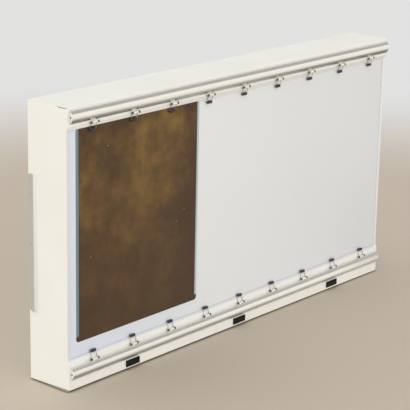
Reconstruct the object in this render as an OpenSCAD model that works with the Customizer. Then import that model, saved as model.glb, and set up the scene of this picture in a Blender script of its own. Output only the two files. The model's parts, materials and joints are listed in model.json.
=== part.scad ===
// X-ray film viewer: a sheet-steel light box with an opal front, two rails, sprung film clips and switches.
// Millimetres. X runs along the front, Y to the rear, Z up. The base stands on Z = 0.
// Shapes are drawn with Y = 0 on the case's front face, then placed() centres them over the origin.

/* [Case] */
// Width of the sheet-steel case
case_w = 1043; // [1000:1:1300]
// Height of the case
case_h = 570; // [540:1:700]
// Depth of the case from its front face to its rear rim
case_d = 108; // [98:1:140]
// Thickness of the case sheet
sheet = 1.2; // [0.8:0.1:1.6]
// Room left at each end of the case beside its three sections
section_end = 11.8; // [8:0.1:40]
// Length of the open seam at the front of each top corner
seam_l = 27; // [10:1:60]
// Height of that open seam
seam_h = 1.3; // [0.4:0.1:1.5]

/* [Front opening] */
// Flange left between the upper rail and the bevel under it
top_strip = 7.8; // [6:0.1:10]
// Flange left between the lower rail and the bevel above it
bottom_strip = 9; // [7:0.1:20]
// Width of the set-back front flange at each end
side_lip = 10; // [3:0.5:12]
// Run of the bevel that leads from a flange to the diffuser
bevel_run = 6.5; // [4:0.5:10]
// Depth of the bevel
bevel_depth = 3; // [2:0.5:6]

/* [Diffuser and film] */
// Thickness of the acrylic diffuser
diffuser_t = 3; // [2:0.5:5]
// Room for film between the bevel and the diffuser
film_gap = 0.8; // [0.6:0.1:2]
// Reach of the diffuser behind the bevels
diffuser_lap = 13; // [8:1:20]
// Play of the diffuser in its seat
diffuser_play = 0.5; // [0.2:0.1:1]
// Width of the film
film_w = 355.6; // [200:0.1:400]
// Height of the film
film_h = 431.8; // [240:0.1:450]
// Thickness of the film
film_t = 0.2; // [0.2:0.05:0.4]
// Radius of the film's corners
film_corner = 7; // [2:0.5:15]
// Distance of the film's edge from the left end of the case
film_left = 25.7; // [16:0.1:600]
// Length of film tucked behind the upper bevel
film_tuck = 1.5; // [0.5:0.1:5]

/* [Rails] */
// Height of the rail extrusion
rail_h = 25.8; // [20:0.1:36]
// Reach of the rail's round nose in front of the case
rail_out = 9.5; // [8:0.1:12]
// Radius of the rail's round nose
rail_nose_r = 20; // [17:0.5:30]
// Height of the nose's furthest point above the rail's lower edge
rail_nose_z = 14.9; // [12:0.1:16]
// Thickness of the rail at its upper edge, where its sloping face starts
rail_edge = 2.5; // [2:0.1:3]
// Diameter of the rail's screw port
rail_port_d = 3.6; // [3:0.1:4]
// Distance of the screw port in front of the case
rail_port_out = 4.4; // [4:0.1:5]
// Height of the screw port above the rail's lower edge
rail_port_z = 12.4; // [11:0.1:13]
// Gap from each end of the case to the end of a rail
rail_inset = 4.5; // [0:0.5:10]
// Drop of the upper rail below the top of the case
top_rail_drop = 5.6; // [3:0.1:20]
// Height of the lower rail's underside above the base
bottom_rail_z = 23.2; // [20:0.1:40]

/* [Film clips] */
// Clips in each row of a section
clips_per_section = 3; // [1:1:3]
// Wire diameter of a clip spring
wire_d = 1; // [0.8:0.05:1.5]
// Mean diameter of a spring coil
coil_d = 4.2; // [4:0.1:8]
// Turns in each coil
coil_turns = 1.75; // [1.75:1:3.75]
// Gap between the turns of a coil
turn_gap = 0.55; // [0.5:0.05:1]
// Half the distance between a spring's legs at its coils
leg_x = 8.2; // [6:0.1:12]
// How far each leg spreads outwards on its way from the cross bar to its coil
leg_spread = 0.6; // [0:0.1:2]
// Radius of the bend between a leg and the cross bar
bar_bend = 0.9; // [0.8:0.1:2]
// Room between a coil and the case
coil_room = 2; // [0.6:0.1:3]
// Gap between the upper rail and the coils under it
top_coil_gap = 2.6; // [0.5:0.1:4]
// Gap between the lower rail and the coils above it
bottom_coil_gap = 0.3; // [0.3:0.1:4]
// Diameter of a rubber sleeve
sleeve_d = 6.4; // [5:0.1:8]
// Room between a lower sleeve and the edge of the opening
sleeve_room = 0.2; // [0.2:0.1:4]
// Room between a sleeve and the film
sleeve_clear = 0.3; // [0.3:0.05:0.8]
// Bevel at the ends of a sleeve
sleeve_bevel = 0.6; // [0.2:0.1:1]
// Play between each end of a sleeve and the bend in the wire
sleeve_play = 0.1; // [0.1:0.1:0.5]
// Room between a clip pin and its coils
pin_play = 0.8; // [0.4:0.1:0.9]
// How far a clip pin ends inside the outer ends of its coils
pin_short = 0.6; // [0:0.1:1]
// Room between a coil and the lug beside it
lug_clear = 1.2; // [0.4:0.1:2]
// Room between the tail of a spring and the case that it bears on
tail_clear = 0.3; // [0.2:0.05:0.6]

/* [Switches] */
// Width of a switch bezel
switch_w = 40; // [34:0.5:60]
// Height of a switch bezel
switch_h = 14; // [12:0.1:18]
// Thickness of a switch bezel
bezel_t = 2; // [1:0.1:3]
// Overhang of a bezel at each end of the switch body
bezel_end = 1.8; // [1:0.1:3]
// Overhang of a bezel above and below the switch body
bezel_rim = 1.1; // [0.6:0.1:1.6]
// Corner radius of a bezel
bezel_corner = 1; // [0.3:0.1:2]
// Height of the switches above the base
switch_z = 11.3; // [10:0.1:13]
// Depth of a switch body behind the front
switch_body_d = 16; // [12:0.5:24]
// Depth of the pocket for the rocker behind the front
pocket_d = 8; // [6:0.5:10]
// Wall of a switch body
switch_wall = 1.2; // [0.8:0.1:1.6]
// Gap between a rocker and the ends of its pocket
rocker_end_gap = 1; // [0.9:0.1:2]
// Gap between a rocker and the sides of its pocket
rocker_side_gap = 0.4; // [0.3:0.1:0.8]
// Tilt of a rocker at rest
rocker_tilt = 7; // [4:0.5:9]
// Height of a rocker's ends in front of the bezel
rocker_rise = 1.2; // [0.6:0.1:1.6]
// Depth of the hollow at the middle of a rocker
rocker_dip = 1.5; // [0.5:0.1:2]
// Thickness of a rocker at its ends
rocker_end_t = 2.8; // [2:0.1:4]
// Depth of a rocker's keel behind the front
rocker_keel = 4.6; // [4:0.1:5.5]
// Width of a rocker's keel
rocker_keel_w = 8; // [4:0.5:12]
// Depth of a rocker's pivot behind the front
rocker_pivot = 2.5; // [2:0.1:3]
// Diameter of a rocker's pivot stubs
rocker_stub_d = 2.4; // [2:0.1:3]
// Length of a rocker's pivot stubs inside the switch walls
rocker_stub_l = 0.8; // [0.5:0.1:0.8]

/* [Grip strips] */
// Width of a grip strip
grip_w = 22.5; // [18:0.5:30]
// Length of a grip strip
grip_l = 281; // [200:1:400]
// Height of a grip strip at its front edge
grip_out = 5; // [4:0.1:8]
// Height of a grip strip at its rear edge
grip_rear_out = 1.5; // [1.2:0.1:3]
// Slant of a grip strip's front face
grip_slant = 5; // [1:0.1:6]
// Radius of a grip strip's rear corners
grip_corner = 8; // [3:0.5:10]
// Distance of a grip strip's rear edge from the rear rim
grip_rear_gap = 0.5; // [0:0.1:10]
// Distance of the outer screws from the ends of a grip strip
grip_screw_end = 40.5; // [10:0.5:60]
// Distance of the screws from a grip strip's rear edge
grip_screw_in = 7.9; // [6:0.1:10]
// Diameter of a grip screw
grip_screw_d = 3.5; // [3:0.1:4]
// Head diameter of a grip screw
grip_screw_head_d = 7; // [6:0.1:8]
// Head thickness of a grip screw
grip_head_t = 1; // [0.6:0.1:1.4]
// Length of a grip screw under its head
grip_screw_l = 9; // [6:0.5:16]

/* [Inside] */
// Sheet thickness of the reflector tray
tray_t = 1; // [0.8:0.1:1.5]
// Fluorescent tubes behind each section
tubes_per_section = 2; // [1:1:3]
// Diameter of a fluorescent tube over its end caps
tube_d = 26; // [16:0.5:28]
// Step from an end cap to the glass
cap_step = 0.5; // [0.2:0.1:1]
// Length of an end cap
cap_l = 12; // [8:0.5:20]
// Gap between the tubes and the back of the tray
tube_gap = 11; // [4:0.5:14]
// Diameter of a tube's contact pins
tube_pin_d = 2.4; // [2:0.1:2.6]
// Distance between a tube's two contact pins
tube_pin_gap = 12.7; // [10:0.1:13]
// Length of a tube's contact pins
tube_pin_l = 7; // [6:0.1:8]
// Thickness of a lampholder along its tube
holder_t = 12; // [10:0.5:20]
// Width of a lampholder
holder_w = 22; // [18:0.5:30]
// Room between a lampholder and the tray's ledge
holder_room = 14.9; // [2:0.1:30]
// Length of a ballast over its feet
ballast_l = 150; // [110:1:180]
// Length of each foot of a ballast
ballast_foot_l = 15; // [8:1:25]
// Thickness of a ballast's feet
ballast_foot_t = 2; // [1:0.1:3]
// Height of a ballast
ballast_h = 41; // [30:1:60]
// Depth of a ballast
ballast_d = 28; // [20:1:36]
// Diameter of a starter
starter_d = 21.5; // [18:0.5:24]
// Length of a starter
starter_l = 38; // [30:1:44]
// Room between the starters and the back panel
starter_room = 7; // [4:0.5:14]
// Gap between a ballast and the starters under it
starter_drop = 31; // [4:0.5:80]

/* [Back] */
// Height of the flanges that the back panel is screwed to
back_flange = 16; // [12:0.5:24]
// Diameter of a back screw
screw_d = 3; // [2.5:0.1:4]
// Head diameter of a back screw
screw_head_d = 7; // [5:0.1:8]
// Head thickness of a back screw
screw_head_t = 1.5; // [1:0.1:2.5]
// Length of a back screw under its head
screw_l = 8; // [5:0.5:14]
// Back screws along each flange
screw_count = 5; // [3:1:7]
// Distance of the outer back screws from the ends of the case
screw_inset = 45; // [20:1:80]
// Room between the back screws' heads and the plane of the rear rim
head_room = 0.3; // [0.2:0.1:4]
// Distance between the wall keyholes
keyhole_span = 800; // [400:1:900]
// Drop of the wall keyholes below the top of the case
keyhole_drop = 55; // [40:1:70]
// Diameter of a keyhole's round end
keyhole_d = 11; // [9:0.5:14]
// Width of a keyhole's slot, and of the lower wall screw holes
keyhole_slot = 5.5; // [4:0.5:6]
// Height of the lower wall screw holes above the base
wall_hole_z = 60; // [30:1:70]
// Length of a vent slot
vent_l = 40; // [20:1:60]
// Width of a vent slot
vent_w = 4; // [3:0.5:6]
// Distance between vent slots
vent_pitch = 12; // [10:0.5:16]
// Vent slots in each group
vent_count = 7; // [3:1:9]
// Distance of the vent groups from the top and the base
vent_inset = 98; // [90:1:160]
// Bore of the cord grommet
cord_bore_d = 7.5; // [6:0.1:9]
// Wall of the cord grommet's neck
grommet_wall = 1.4; // [1:0.1:2]
// Overhang of the cord grommet's flanges
grommet_rim = 2.4; // [1.5:0.1:4]
// Thickness of the cord grommet's flanges
grommet_flange_t = 1.5; // [1:0.1:1.8]
// Distance of the grommet from the right end of the case
grommet_inset = 60; // [40:1:90]
// Height of the grommet above the base
grommet_z = 70; // [40:1:90]

/* [Fits] */
// Clearance round screws, pins and bodies in their holes
fit = 0.05; // [0.02:0.01:0.1]

/* [Hidden] */
$fn = 48;
half_w = case_w / 2;
// How far a cut reaches past the faces that it opens
over = 1;
section_pitch = (case_w - 2 * section_end) / 3;
section_xs = [-section_pitch, 0, section_pitch];

// Rails
rail_l = case_w - 2 * rail_inset;
top_rail_z = case_h - top_rail_drop - rail_h;

// The whole object is centred between the rail noses and the rear rim
front_y = (rail_out - case_d) / 2;

// Front opening
top_lip = top_rail_drop + rail_h + top_strip;
bottom_lip = bottom_rail_z + rail_h + bottom_strip;
opening_top = case_h - top_lip - bevel_run;
opening_bottom = bottom_lip + bevel_run;
lip_w = case_w - 2 * sheet;

// Diffuser and film, front faces
diffuser_y = bevel_depth + sheet + film_gap;
side_lip_y = diffuser_y - sheet;
diffuser_back = diffuser_y + diffuser_t;
diffuser_bottom = opening_bottom - diffuser_lap;
diffuser_top = opening_top + diffuser_lap;
film_y = diffuser_y - film_t;
film_x = -half_w + film_left;
film_top = opening_top + film_tuck;

// Clips
clip_pitch = section_pitch / clips_per_section;
clip_count = len(section_xs) * clips_per_section;
clip_xs = [for (i = [0 : clip_count - 1]) (i - (clip_count - 1) / 2) * clip_pitch];
coil_r = coil_d / 2;
coil_outer_r = coil_r + wire_d / 2;
coil_pitch = wire_d + turn_gap;
coil_l = coil_turns * coil_pitch;
coil_out = coil_outer_r + coil_room;
top_coil_z = top_rail_z - top_coil_gap - coil_outer_r;
bottom_coil_z = bottom_rail_z + rail_h + bottom_coil_gap + coil_outer_r;
bar_x = leg_x - leg_spread;
bar_y = film_y - sleeve_clear - sleeve_d / 2;
bar_back = bar_y + coil_out;
leg_drop = opening_bottom + sleeve_room + sleeve_d / 2 - bottom_coil_z;
leg_reach = norm([bar_back, leg_drop]);
leg_angle = acos(coil_r / leg_reach) - atan2(leg_drop, bar_back);
rings_per_turn = 9;
wire_sides = 6;
coil_steps = round(coil_turns * rings_per_turn);
clip_pin_d = coil_d - wire_d - 2 * pin_play;
pin_x = leg_x + coil_l + wire_d / 2 - pin_short;
lug_x = leg_x - wire_d / 2 - lug_clear;
lug_bore_r = clip_pin_d / 2 + fit;
lug_r = lug_bore_r + sheet;
sleeve_l = 2 * (bar_x - bar_bend - sleeve_play);
sleeve_bore_r = wire_d / 2 + fit;

// Switches
switch_body_l = switch_w - 2 * bezel_end;
switch_body_h = switch_h - 2 * bezel_rim;
pocket_l = switch_body_l - 2 * switch_wall;
pocket_h = switch_body_h - 2 * switch_wall;
rocker_l = pocket_l - 2 * rocker_end_gap;
rocker_h = pocket_h - 2 * rocker_side_gap;
rocker_front = bezel_t + rocker_rise;
stub_l = pocket_h + 2 * rocker_stub_l;

// Grip strips
grip_bottom = (case_h - grip_l) / 2;
grip_screw_pitch = grip_l / 2 - grip_screw_end;
grip_screw_zs = [for (i = [-1 : 1]) case_h / 2 + i * grip_screw_pitch];
grip_rear = case_d - grip_rear_gap;
grip_front = grip_rear - grip_w;
grip_screw_y = grip_rear - grip_screw_in;
grip_fall = (grip_out - grip_rear_out) / (grip_w - grip_slant);
grip_screw_out = grip_rear_out + grip_fall * grip_screw_in;

// Back
back_t = sheet;
back_recess = screw_head_t + head_room;
back_y = case_d - back_recess - back_t;
flange_y = back_y - sheet;
screw_step = (case_w - 2 * screw_inset) / (screw_count - 1);
screw_xs = [for (i = [0 : screw_count - 1]) -half_w + screw_inset + i * screw_step];
screw_zs = [back_flange / 2, case_h - back_flange / 2];
vent_zs = [vent_inset, case_h - vent_inset];
grommet_x = half_w - grommet_inset;
grommet_neck_r = cord_bore_d / 2 + grommet_wall;
grommet_flange_r = grommet_neck_r + grommet_rim;

// Inside
tray_w = case_w - 2 * sheet;
tray_y = back_y - starter_room - starter_l;
tray_bottom = diffuser_bottom - tray_t;
tray_top = diffuser_top + diffuser_play + tray_t;
divider_x = section_pitch / 2;
tube_y = tray_y - tray_t - tube_gap - tube_d / 2;
tube_z = (tray_bottom + tray_top) / 2;
tube_l = tray_top - tray_bottom - 2 * (tray_t + holder_room + holder_t);
tube_pitch = section_pitch / tubes_per_section;
tube_count = len(section_xs) * tubes_per_section;
tube_xs = [for (i = [0 : tube_count - 1]) (i - (tube_count - 1) / 2) * tube_pitch];
starter_z = case_h / 2 - ballast_h / 2 - starter_drop - starter_d / 2;

cream = [0.94, 0.93, 0.88];
opal = [0.90, 0.90, 0.91];
alloy = [0.74, 0.75, 0.74];
steel = [0.62, 0.62, 0.62];
black = [0.08, 0.08, 0.08];

// Helpers

// Centres the object over the origin
module placed() translate([0, front_y, 0]) children();

// Extrudes an outline drawn in Y and Z along X, centred
module along_x(length) rotate([90, 0, 90]) translate([0, 0, -length / 2]) linear_extrude(length) children();

// Extrudes an outline drawn in X and Z towards the rear from Y = from
module along_y(from, depth)
    translate([0, from + depth, 0]) rotate([90, 0, 0]) linear_extrude(depth) children();

// A rectangle with round corners, from its lower left corner
module round_rect(w, h, r) {
    translate([r, 0]) square([w - 2 * r, h]);
    translate([0, r]) square([w, h - 2 * r]);
    for (x = [r, w - r], y = [r, h - r]) translate([x, y]) circle(r);
}

module at_clips(z) for (x = clip_xs) translate([x, -coil_out, z]) children();

// Case

// Section of a flange's bevel, from its front corner at the origin, leading back and along +Y of the sketch
module bevel_section() polygon([
    [0, 0], [bevel_depth, bevel_run], [bevel_depth + sheet, bevel_run], [sheet, 0]
]);

// A panel with its front flange, and a rear flange between the end panels, drawn for the base
module folded_panel(front_h) {
    along_x(case_w) {
        square([case_d, sheet]);
        square([sheet, front_h]);
    }
    along_x(lip_w) translate([flange_y, 0]) square([sheet, back_flange]);
}

// A tongue of the flange rolled round a clip pin
module clip_lug(up) along_x(2 * lug_x) mirror([0, up ? 0 : 1]) difference() {
    union() {
        circle(lug_r);
        translate([0, lug_bore_r]) square([coil_out + sheet / 2, sheet]);
    }
    circle(lug_bore_r);
}

module flange_screw_holes(z) for (x = screw_xs)
    translate([x, flange_y - over, z]) rotate([-90, 0, 0])
        cylinder(d = screw_d + 2 * fit, h = sheet + 2 * over);

module top_panel() color(cream) {
    difference() {
        translate([0, 0, case_h]) mirror([0, 0, 1]) folded_panel(top_lip);
        flange_screw_holes(screw_zs[1]);
    }
    translate([0, 0, case_h - top_lip]) mirror([0, 0, 1]) along_x(lip_w) bevel_section();
    at_clips(top_coil_z) clip_lug(true);
}

module switch_cutouts() for (x = section_xs)
    translate([x - switch_body_l / 2 - fit, -over, switch_z - switch_body_h / 2 - fit])
        cube([switch_body_l + 2 * fit, sheet + 2 * over, switch_body_h + 2 * fit]);

module bottom_panel() color(cream) {
    difference() {
        folded_panel(bottom_lip);
        flange_screw_holes(screw_zs[0]);
        switch_cutouts();
    }
    translate([0, 0, bottom_lip]) along_x(lip_w) bevel_section();
    at_clips(bottom_coil_z) clip_lug(false);
}

// Outline of an end panel, which follows the bevels of the top and bottom panels back to the opening
module end_outline() polygon([
    [sheet, sheet], [sheet, bottom_lip], [0, bottom_lip], [bevel_depth, opening_bottom],
    [side_lip_y, opening_bottom], [side_lip_y, opening_top], [bevel_depth, opening_top],
    [0, case_h - top_lip], [sheet, case_h - top_lip], [sheet, case_h - sheet],
    [case_d, case_h - sheet], [case_d, sheet]
]);

// The left end panel: a plate, its set-back front flange, and the open seam at its top front corner
module left_end_panel() color(cream) {
    difference() {
        translate([(sheet - case_w) / 2, 0, 0]) along_x(sheet) end_outline();
        translate([-half_w - over, -over, case_h - sheet - seam_h])
            cube([sheet + 2 * over, seam_l + over, seam_h + over]);
        grip_screw_holes();
    }
    translate([-half_w, side_lip_y, opening_bottom]) cube([side_lip, sheet, opening_top - opening_bottom]);
}

module right_end_panel() mirror([1, 0, 0]) left_end_panel();

// Back

module keyhole() {
    circle(d = keyhole_d);
    translate([-keyhole_slot / 2, 0]) square([keyhole_slot, keyhole_d]);
    translate([0, keyhole_d]) circle(d = keyhole_slot);
}

module vent_group() for (i = [0 : vent_count - 1])
    translate([(i - (vent_count - 1) / 2) * vent_pitch - vent_w / 2, -vent_l / 2]) square([vent_w, vent_l]);

module back_panel() color(cream) along_y(back_y, back_t) difference() {
    translate([-half_w + sheet, sheet]) square([case_w - 2 * sheet, case_h - 2 * sheet]);
    for (x = [-1, 1] * keyhole_span / 2) {
        translate([x, case_h - keyhole_drop]) keyhole();
        translate([x, wall_hole_z]) circle(d = keyhole_slot);
    }
    for (x = section_xs, z = vent_zs) translate([x, z]) vent_group();
    for (x = screw_xs, z = screw_zs) translate([x, z]) circle(d = screw_d + 2 * fit);
    translate([grommet_x, grommet_z]) circle(grommet_neck_r + fit);
}

module back_screws() color(steel) for (x = screw_xs, z = screw_zs)
    translate([x, back_y + back_t, z]) rotate([-90, 0, 0]) {
        cylinder(d = screw_head_d, h = screw_head_t);
        translate([0, 0, -screw_l]) cylinder(d = screw_d, h = screw_l);
    }

module cord_grommet() color(black) translate([grommet_x, back_y + back_t / 2, grommet_z]) rotate([-90, 0, 0])
    rotate_extrude() difference() {
        translate([cord_bore_d / 2, -back_t / 2 - grommet_flange_t])
            square([grommet_flange_r - cord_bore_d / 2, back_t + 2 * grommet_flange_t]);
        translate([grommet_neck_r, -back_t / 2]) square([grommet_flange_r, back_t]);
    }

// Front

module diffuser() color(opal) translate([-half_w + sheet + diffuser_play, diffuser_y, diffuser_bottom])
    cube([case_w - 2 * (sheet + diffuser_play), diffuser_t, diffuser_top - diffuser_bottom]);

module film_sheet() color([0.33, 0.26, 0.18]) along_y(film_y, film_t)
    translate([film_x, film_top - film_h]) round_rect(film_w, film_h, film_corner);

// Outline of the rail without its nose: its seat on Y = 0, and the face that slopes down from its upper edge
module rail_body() polygon([
    [0, 0], [-rail_out - over, 0], [-rail_out - over, rail_h + rail_edge - rail_out - over],
    [-rail_edge, rail_h], [0, rail_h]
]);

module rail_nose() translate([rail_nose_r - rail_out, rail_nose_z]) circle(rail_nose_r, $fn = 180);

module rail_port() translate([-rail_port_out, rail_port_z]) circle(d = rail_port_d);

module rail(z) color(alloy) translate([0, 0, z]) difference() {
    intersection() {
        along_x(rail_l) rail_body();
        along_x(rail_l + 2 * over) rail_nose();
    }
    along_x(rail_l + 2 * over) rail_port();
}

module top_rail() rail(top_rail_z);

module bottom_rail() rail(bottom_rail_z);

// Film clips

function unit(v) = v / norm(v);

// Half of a clip spring's centre line, from the tail of its coil to its cross bar, about the coil axis
function coil_point(i) = let (a = leg_angle + 360 * coil_turns * i / coil_steps)
    [leg_x + coil_l * i / coil_steps, coil_r * cos(a), coil_r * sin(a)];
coil_points = [for (i = [coil_steps : -1 : 0]) coil_point(i)];
tail_angle = leg_angle + 360 * coil_turns;
tail_way = [0, -sin(tail_angle), cos(tail_angle)];
tail_l = (coil_out - tail_clear - wire_d / 2 - coil_points[0][1]) / tail_way[1];
tail_point = coil_points[0] + tail_l * tail_way;
bar_end = [bar_x, bar_back, -leg_drop];
leg_way = unit(coil_points[coil_steps] - bar_end);
half_wire = concat([tail_point], coil_points, [bar_end + bar_bend * leg_way, bar_end - [bar_bend, 0, 0]]);
wire_points = concat(half_wire, [for (i = [len(half_wire) - 1 : -1 : 0])
    [-half_wire[i][0], half_wire[i][1], half_wire[i][2]]]);
wire_n = len(wire_points);

// Direction of the wire at each of its points
wire_ways = [for (i = [0 : wire_n - 1]) unit(
    (i > 0 ? unit(wire_points[i] - wire_points[i - 1]) : [0, 0, 0])
    + (i < wire_n - 1 ? unit(wire_points[i + 1] - wire_points[i]) : [0, 0, 0]))];

// Carries a side vector along the wire without twisting it
function squared(v, way) = unit(v - (v * way) * way);
function carried(i) = i == 0 ? [squared([1, 0, 0], wire_ways[0])] :
    let (before = carried(i - 1)) concat(before, [squared(before[i - 1], wire_ways[i])]);
wire_sides_at = carried(wire_n - 1);

function wire_ring(i) = let (u = wire_sides_at[i], v = cross(wire_ways[i], u))
    [for (k = [0 : wire_sides - 1]) let (a = 360 * k / wire_sides)
        wire_points[i] + wire_d / 2 * (cos(a) * u + sin(a) * v)];
wire_skin = [for (i = [0 : wire_n - 1]) each wire_ring(i)];
wire_last = (wire_n - 1) * wire_sides;
wire_faces = concat(
    [for (i = [0 : wire_n - 2], k = [0 : wire_sides - 1])
        let (a = i * wire_sides + k, b = i * wire_sides + (k + 1) % wire_sides)
        each [[a, a + wire_sides, b], [b, a + wire_sides, b + wire_sides]]],
    [for (k = [1 : wire_sides - 2]) [0, k, k + 1]],
    [for (k = [1 : wire_sides - 2]) [wire_last, wire_last + k + 1, wire_last + k]]
);

// The least gap between stretches of the wire that pass each other
wire_gap = min([for (i = [0 : wire_n - 4], j = [i + 3 : wire_n - 1])
    norm(wire_points[i] - wire_points[j])]) - wire_d;
echo(least_gap_between_turns = wire_gap);

module clip_spring(x, z, up) color(steel) translate([x, -coil_out, z]) mirror([0, 0, up ? 1 : 0])
    polyhedron(wire_skin, wire_faces);

// A rubber sleeve on the cross bar
module clip_sleeve(x, z, up) color(black) translate([x, bar_y, z + (up ? leg_drop : -leg_drop)])
    rotate([0, 90, 0]) rotate_extrude() polygon([
        [sleeve_bore_r, -sleeve_l / 2], [sleeve_d / 2 - sleeve_bevel, -sleeve_l / 2],
        [sleeve_d / 2, sleeve_bevel - sleeve_l / 2], [sleeve_d / 2, sleeve_l / 2 - sleeve_bevel],
        [sleeve_d / 2 - sleeve_bevel, sleeve_l / 2], [sleeve_bore_r, sleeve_l / 2]
    ]);

module clip_pins() color(steel) for (z = [top_coil_z, bottom_coil_z]) at_clips(z) rotate([0, 90, 0])
    cylinder(d = clip_pin_d, h = 2 * pin_x, center = true);

// Switches

module switch_housings() color(black) for (x = section_xs) translate([x, 0, switch_z]) difference() {
    union() {
        along_y(-bezel_t, bezel_t) translate([-switch_w / 2, -switch_h / 2])
            round_rect(switch_w, switch_h, bezel_corner);
        translate([-switch_body_l / 2, -bezel_t, -switch_body_h / 2])
            cube([switch_body_l, switch_body_d + bezel_t, switch_body_h]);
    }
    translate([-pocket_l / 2, -bezel_t - over, -pocket_h / 2])
        cube([pocket_l, pocket_d + bezel_t + over, pocket_h]);
    translate([0, rocker_pivot, 0]) cylinder(d = rocker_stub_d + 2 * fit, h = 2 * switch_h, center = true);
}

// A rocker with a hollowed face, on its pivot stubs, resting with its right half raised
module rocker(x) color(black) translate([x, rocker_pivot, switch_z]) rotate([0, 0, -rocker_tilt]) {
    translate([0, -rocker_pivot, -rocker_h / 2]) linear_extrude(rocker_h) polygon([
        [-rocker_l / 2, rocker_end_t - rocker_front], [-rocker_l / 2, -rocker_front],
        [0, rocker_dip - rocker_front], [rocker_l / 2, -rocker_front],
        [rocker_l / 2, rocker_end_t - rocker_front],
        [rocker_keel_w / 2, rocker_keel], [-rocker_keel_w / 2, rocker_keel]
    ]);
    cylinder(d = rocker_stub_d, h = stub_l, center = true);
}

module left_rocker() rocker(section_xs[0]);

module centre_rocker() rocker(section_xs[1]);

module right_rocker() rocker(section_xs[2]);

// Grip strips

module grip_screw_holes() for (z = grip_screw_zs)
    translate([-half_w - over, grip_screw_y, z]) rotate([0, 90, 0])
        cylinder(d = grip_screw_d + 2 * fit, h = sheet + 2 * over);

module left_grip_strip() color(alloy) difference() {
    intersection() {
        translate([0, 0, grip_bottom]) linear_extrude(grip_l) polygon([
            [-half_w, grip_front], [-half_w - grip_out, grip_front + grip_slant],
            [-half_w - grip_rear_out, grip_rear], [-half_w, grip_rear]
        ]);
        translate([-half_w - grip_out, grip_front - grip_corner, grip_bottom])
            rotate([90, 0, 90]) linear_extrude(grip_out)
                round_rect(grip_w + grip_corner, grip_l, grip_corner);
    }
    for (z = grip_screw_zs) translate([-half_w, grip_screw_y, z]) rotate([0, -90, 0]) {
        translate([0, 0, -over]) cylinder(d = grip_screw_d + 2 * fit, h = grip_out + 2 * over);
        translate([0, 0, grip_screw_out - grip_head_t])
            cylinder(d = grip_screw_head_d + 4 * fit, h = grip_out);
    }
}

module right_grip_strip() mirror([1, 0, 0]) left_grip_strip();

module grip_screws() color(steel) for (side = [0, 1], z = grip_screw_zs) mirror([side, 0, 0])
    translate([-half_w - grip_screw_out + grip_head_t, grip_screw_y, z]) rotate([0, -90, 0]) {
        cylinder(d = grip_screw_head_d, h = grip_head_t);
        translate([0, 0, -grip_screw_l]) cylinder(d = grip_screw_d, h = grip_screw_l);
    }

// Inside

// A white pan that holds the diffuser against the bevels, with a ledge above and below it and two dividers
module reflector_tray() color([0.95, 0.95, 0.95]) {
    ledge_d = tray_y - diffuser_y;
    translate([-tray_w / 2, tray_y - tray_t, tray_bottom]) cube([tray_w, tray_t, tray_top - tray_bottom]);
    translate([-tray_w / 2, diffuser_y, tray_bottom]) cube([tray_w, ledge_d, tray_t]);
    translate([-tray_w / 2, diffuser_y, tray_top - tray_t]) cube([tray_w, ledge_d, tray_t]);
    for (x = [-tray_w / 2, tray_w / 2 - tray_t])
        translate([x, diffuser_back, tray_bottom])
            cube([tray_t, tray_y - diffuser_back, tray_top - tray_bottom]);
    for (x = [-divider_x, divider_x]) translate([x - tray_t / 2, tube_y, tray_bottom])
        cube([tray_t, tray_y - tube_y, tray_top - tray_bottom]);
}

module at_tube_ends() for (x = tube_xs, end = [0, 1])
    translate([x, tube_y, tube_z]) mirror([0, 0, end]) translate([0, 0, tube_l / 2]) children();

module tube_pins(d, h) for (side = [-1, 1]) translate([side * tube_pin_gap / 2, 0, 0]) cylinder(d = d, h = h);

module lamp_tubes() color([0.97, 0.97, 0.97]) for (x = tube_xs) translate([x, tube_y, tube_z]) {
    cylinder(d = tube_d - 2 * cap_step, h = tube_l - 2 * cap_l, center = true);
    for (end = [0, 1]) mirror([0, 0, end]) translate([0, 0, tube_l / 2]) {
        translate([0, 0, -cap_l]) cylinder(d = tube_d, h = cap_l);
        tube_pins(tube_pin_d, tube_pin_l);
    }
}

module lampholders() color("white") at_tube_ends() difference() {
    union() {
        cylinder(d = holder_w, h = holder_t);
        translate([-holder_w / 2, 0, 0]) cube([holder_w, tray_y - tray_t - tube_y, holder_t]);
    }
    translate([0, 0, -over]) tube_pins(tube_pin_d + 4 * fit, tube_pin_l + 2 * over);
}

module ballasts() color([0.25, 0.25, 0.27]) for (x = section_xs) translate([x, tray_y, case_h / 2]) {
    translate([-ballast_l / 2, 0, -ballast_h / 2]) cube([ballast_l, ballast_foot_t, ballast_h]);
    translate([ballast_foot_l - ballast_l / 2, 0, -ballast_h / 2])
        cube([ballast_l - 2 * ballast_foot_l, ballast_d, ballast_h]);
}

module starters() color([0.85, 0.85, 0.85]) for (x = tube_xs)
    translate([x, tray_y, starter_z]) rotate([-90, 0, 0]) cylinder(d = starter_d, h = starter_l);

placed() top_panel();
placed() bottom_panel();
placed() left_end_panel();
placed() right_end_panel();
placed() back_panel();
placed() back_screws();
placed() diffuser();
placed() film_sheet();
placed() top_rail();
placed() bottom_rail();
placed() clip_pins();
placed() left_grip_strip();
placed() right_grip_strip();
placed() grip_screws();
placed() switch_housings();
placed() left_rocker();
placed() centre_rocker();
placed() right_rocker();
placed() reflector_tray();
placed() lamp_tubes();
placed() lampholders();
placed() ballasts();
placed() starters();
placed() cord_grommet();
for (i = [1 : clip_count]) {
    x = clip_xs[i - 1];
    placed() clip_spring(x, top_coil_z, false);
    placed() clip_sleeve(x, top_coil_z, false);
    placed() clip_spring(x, bottom_coil_z, true);
    placed() clip_sleeve(x, bottom_coil_z, true);
}
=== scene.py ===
# X-ray film viewer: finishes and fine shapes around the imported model, metres, front towards -Y
import json
import math

import bmesh
import bpy
from mathutils import Matrix, Vector


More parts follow.
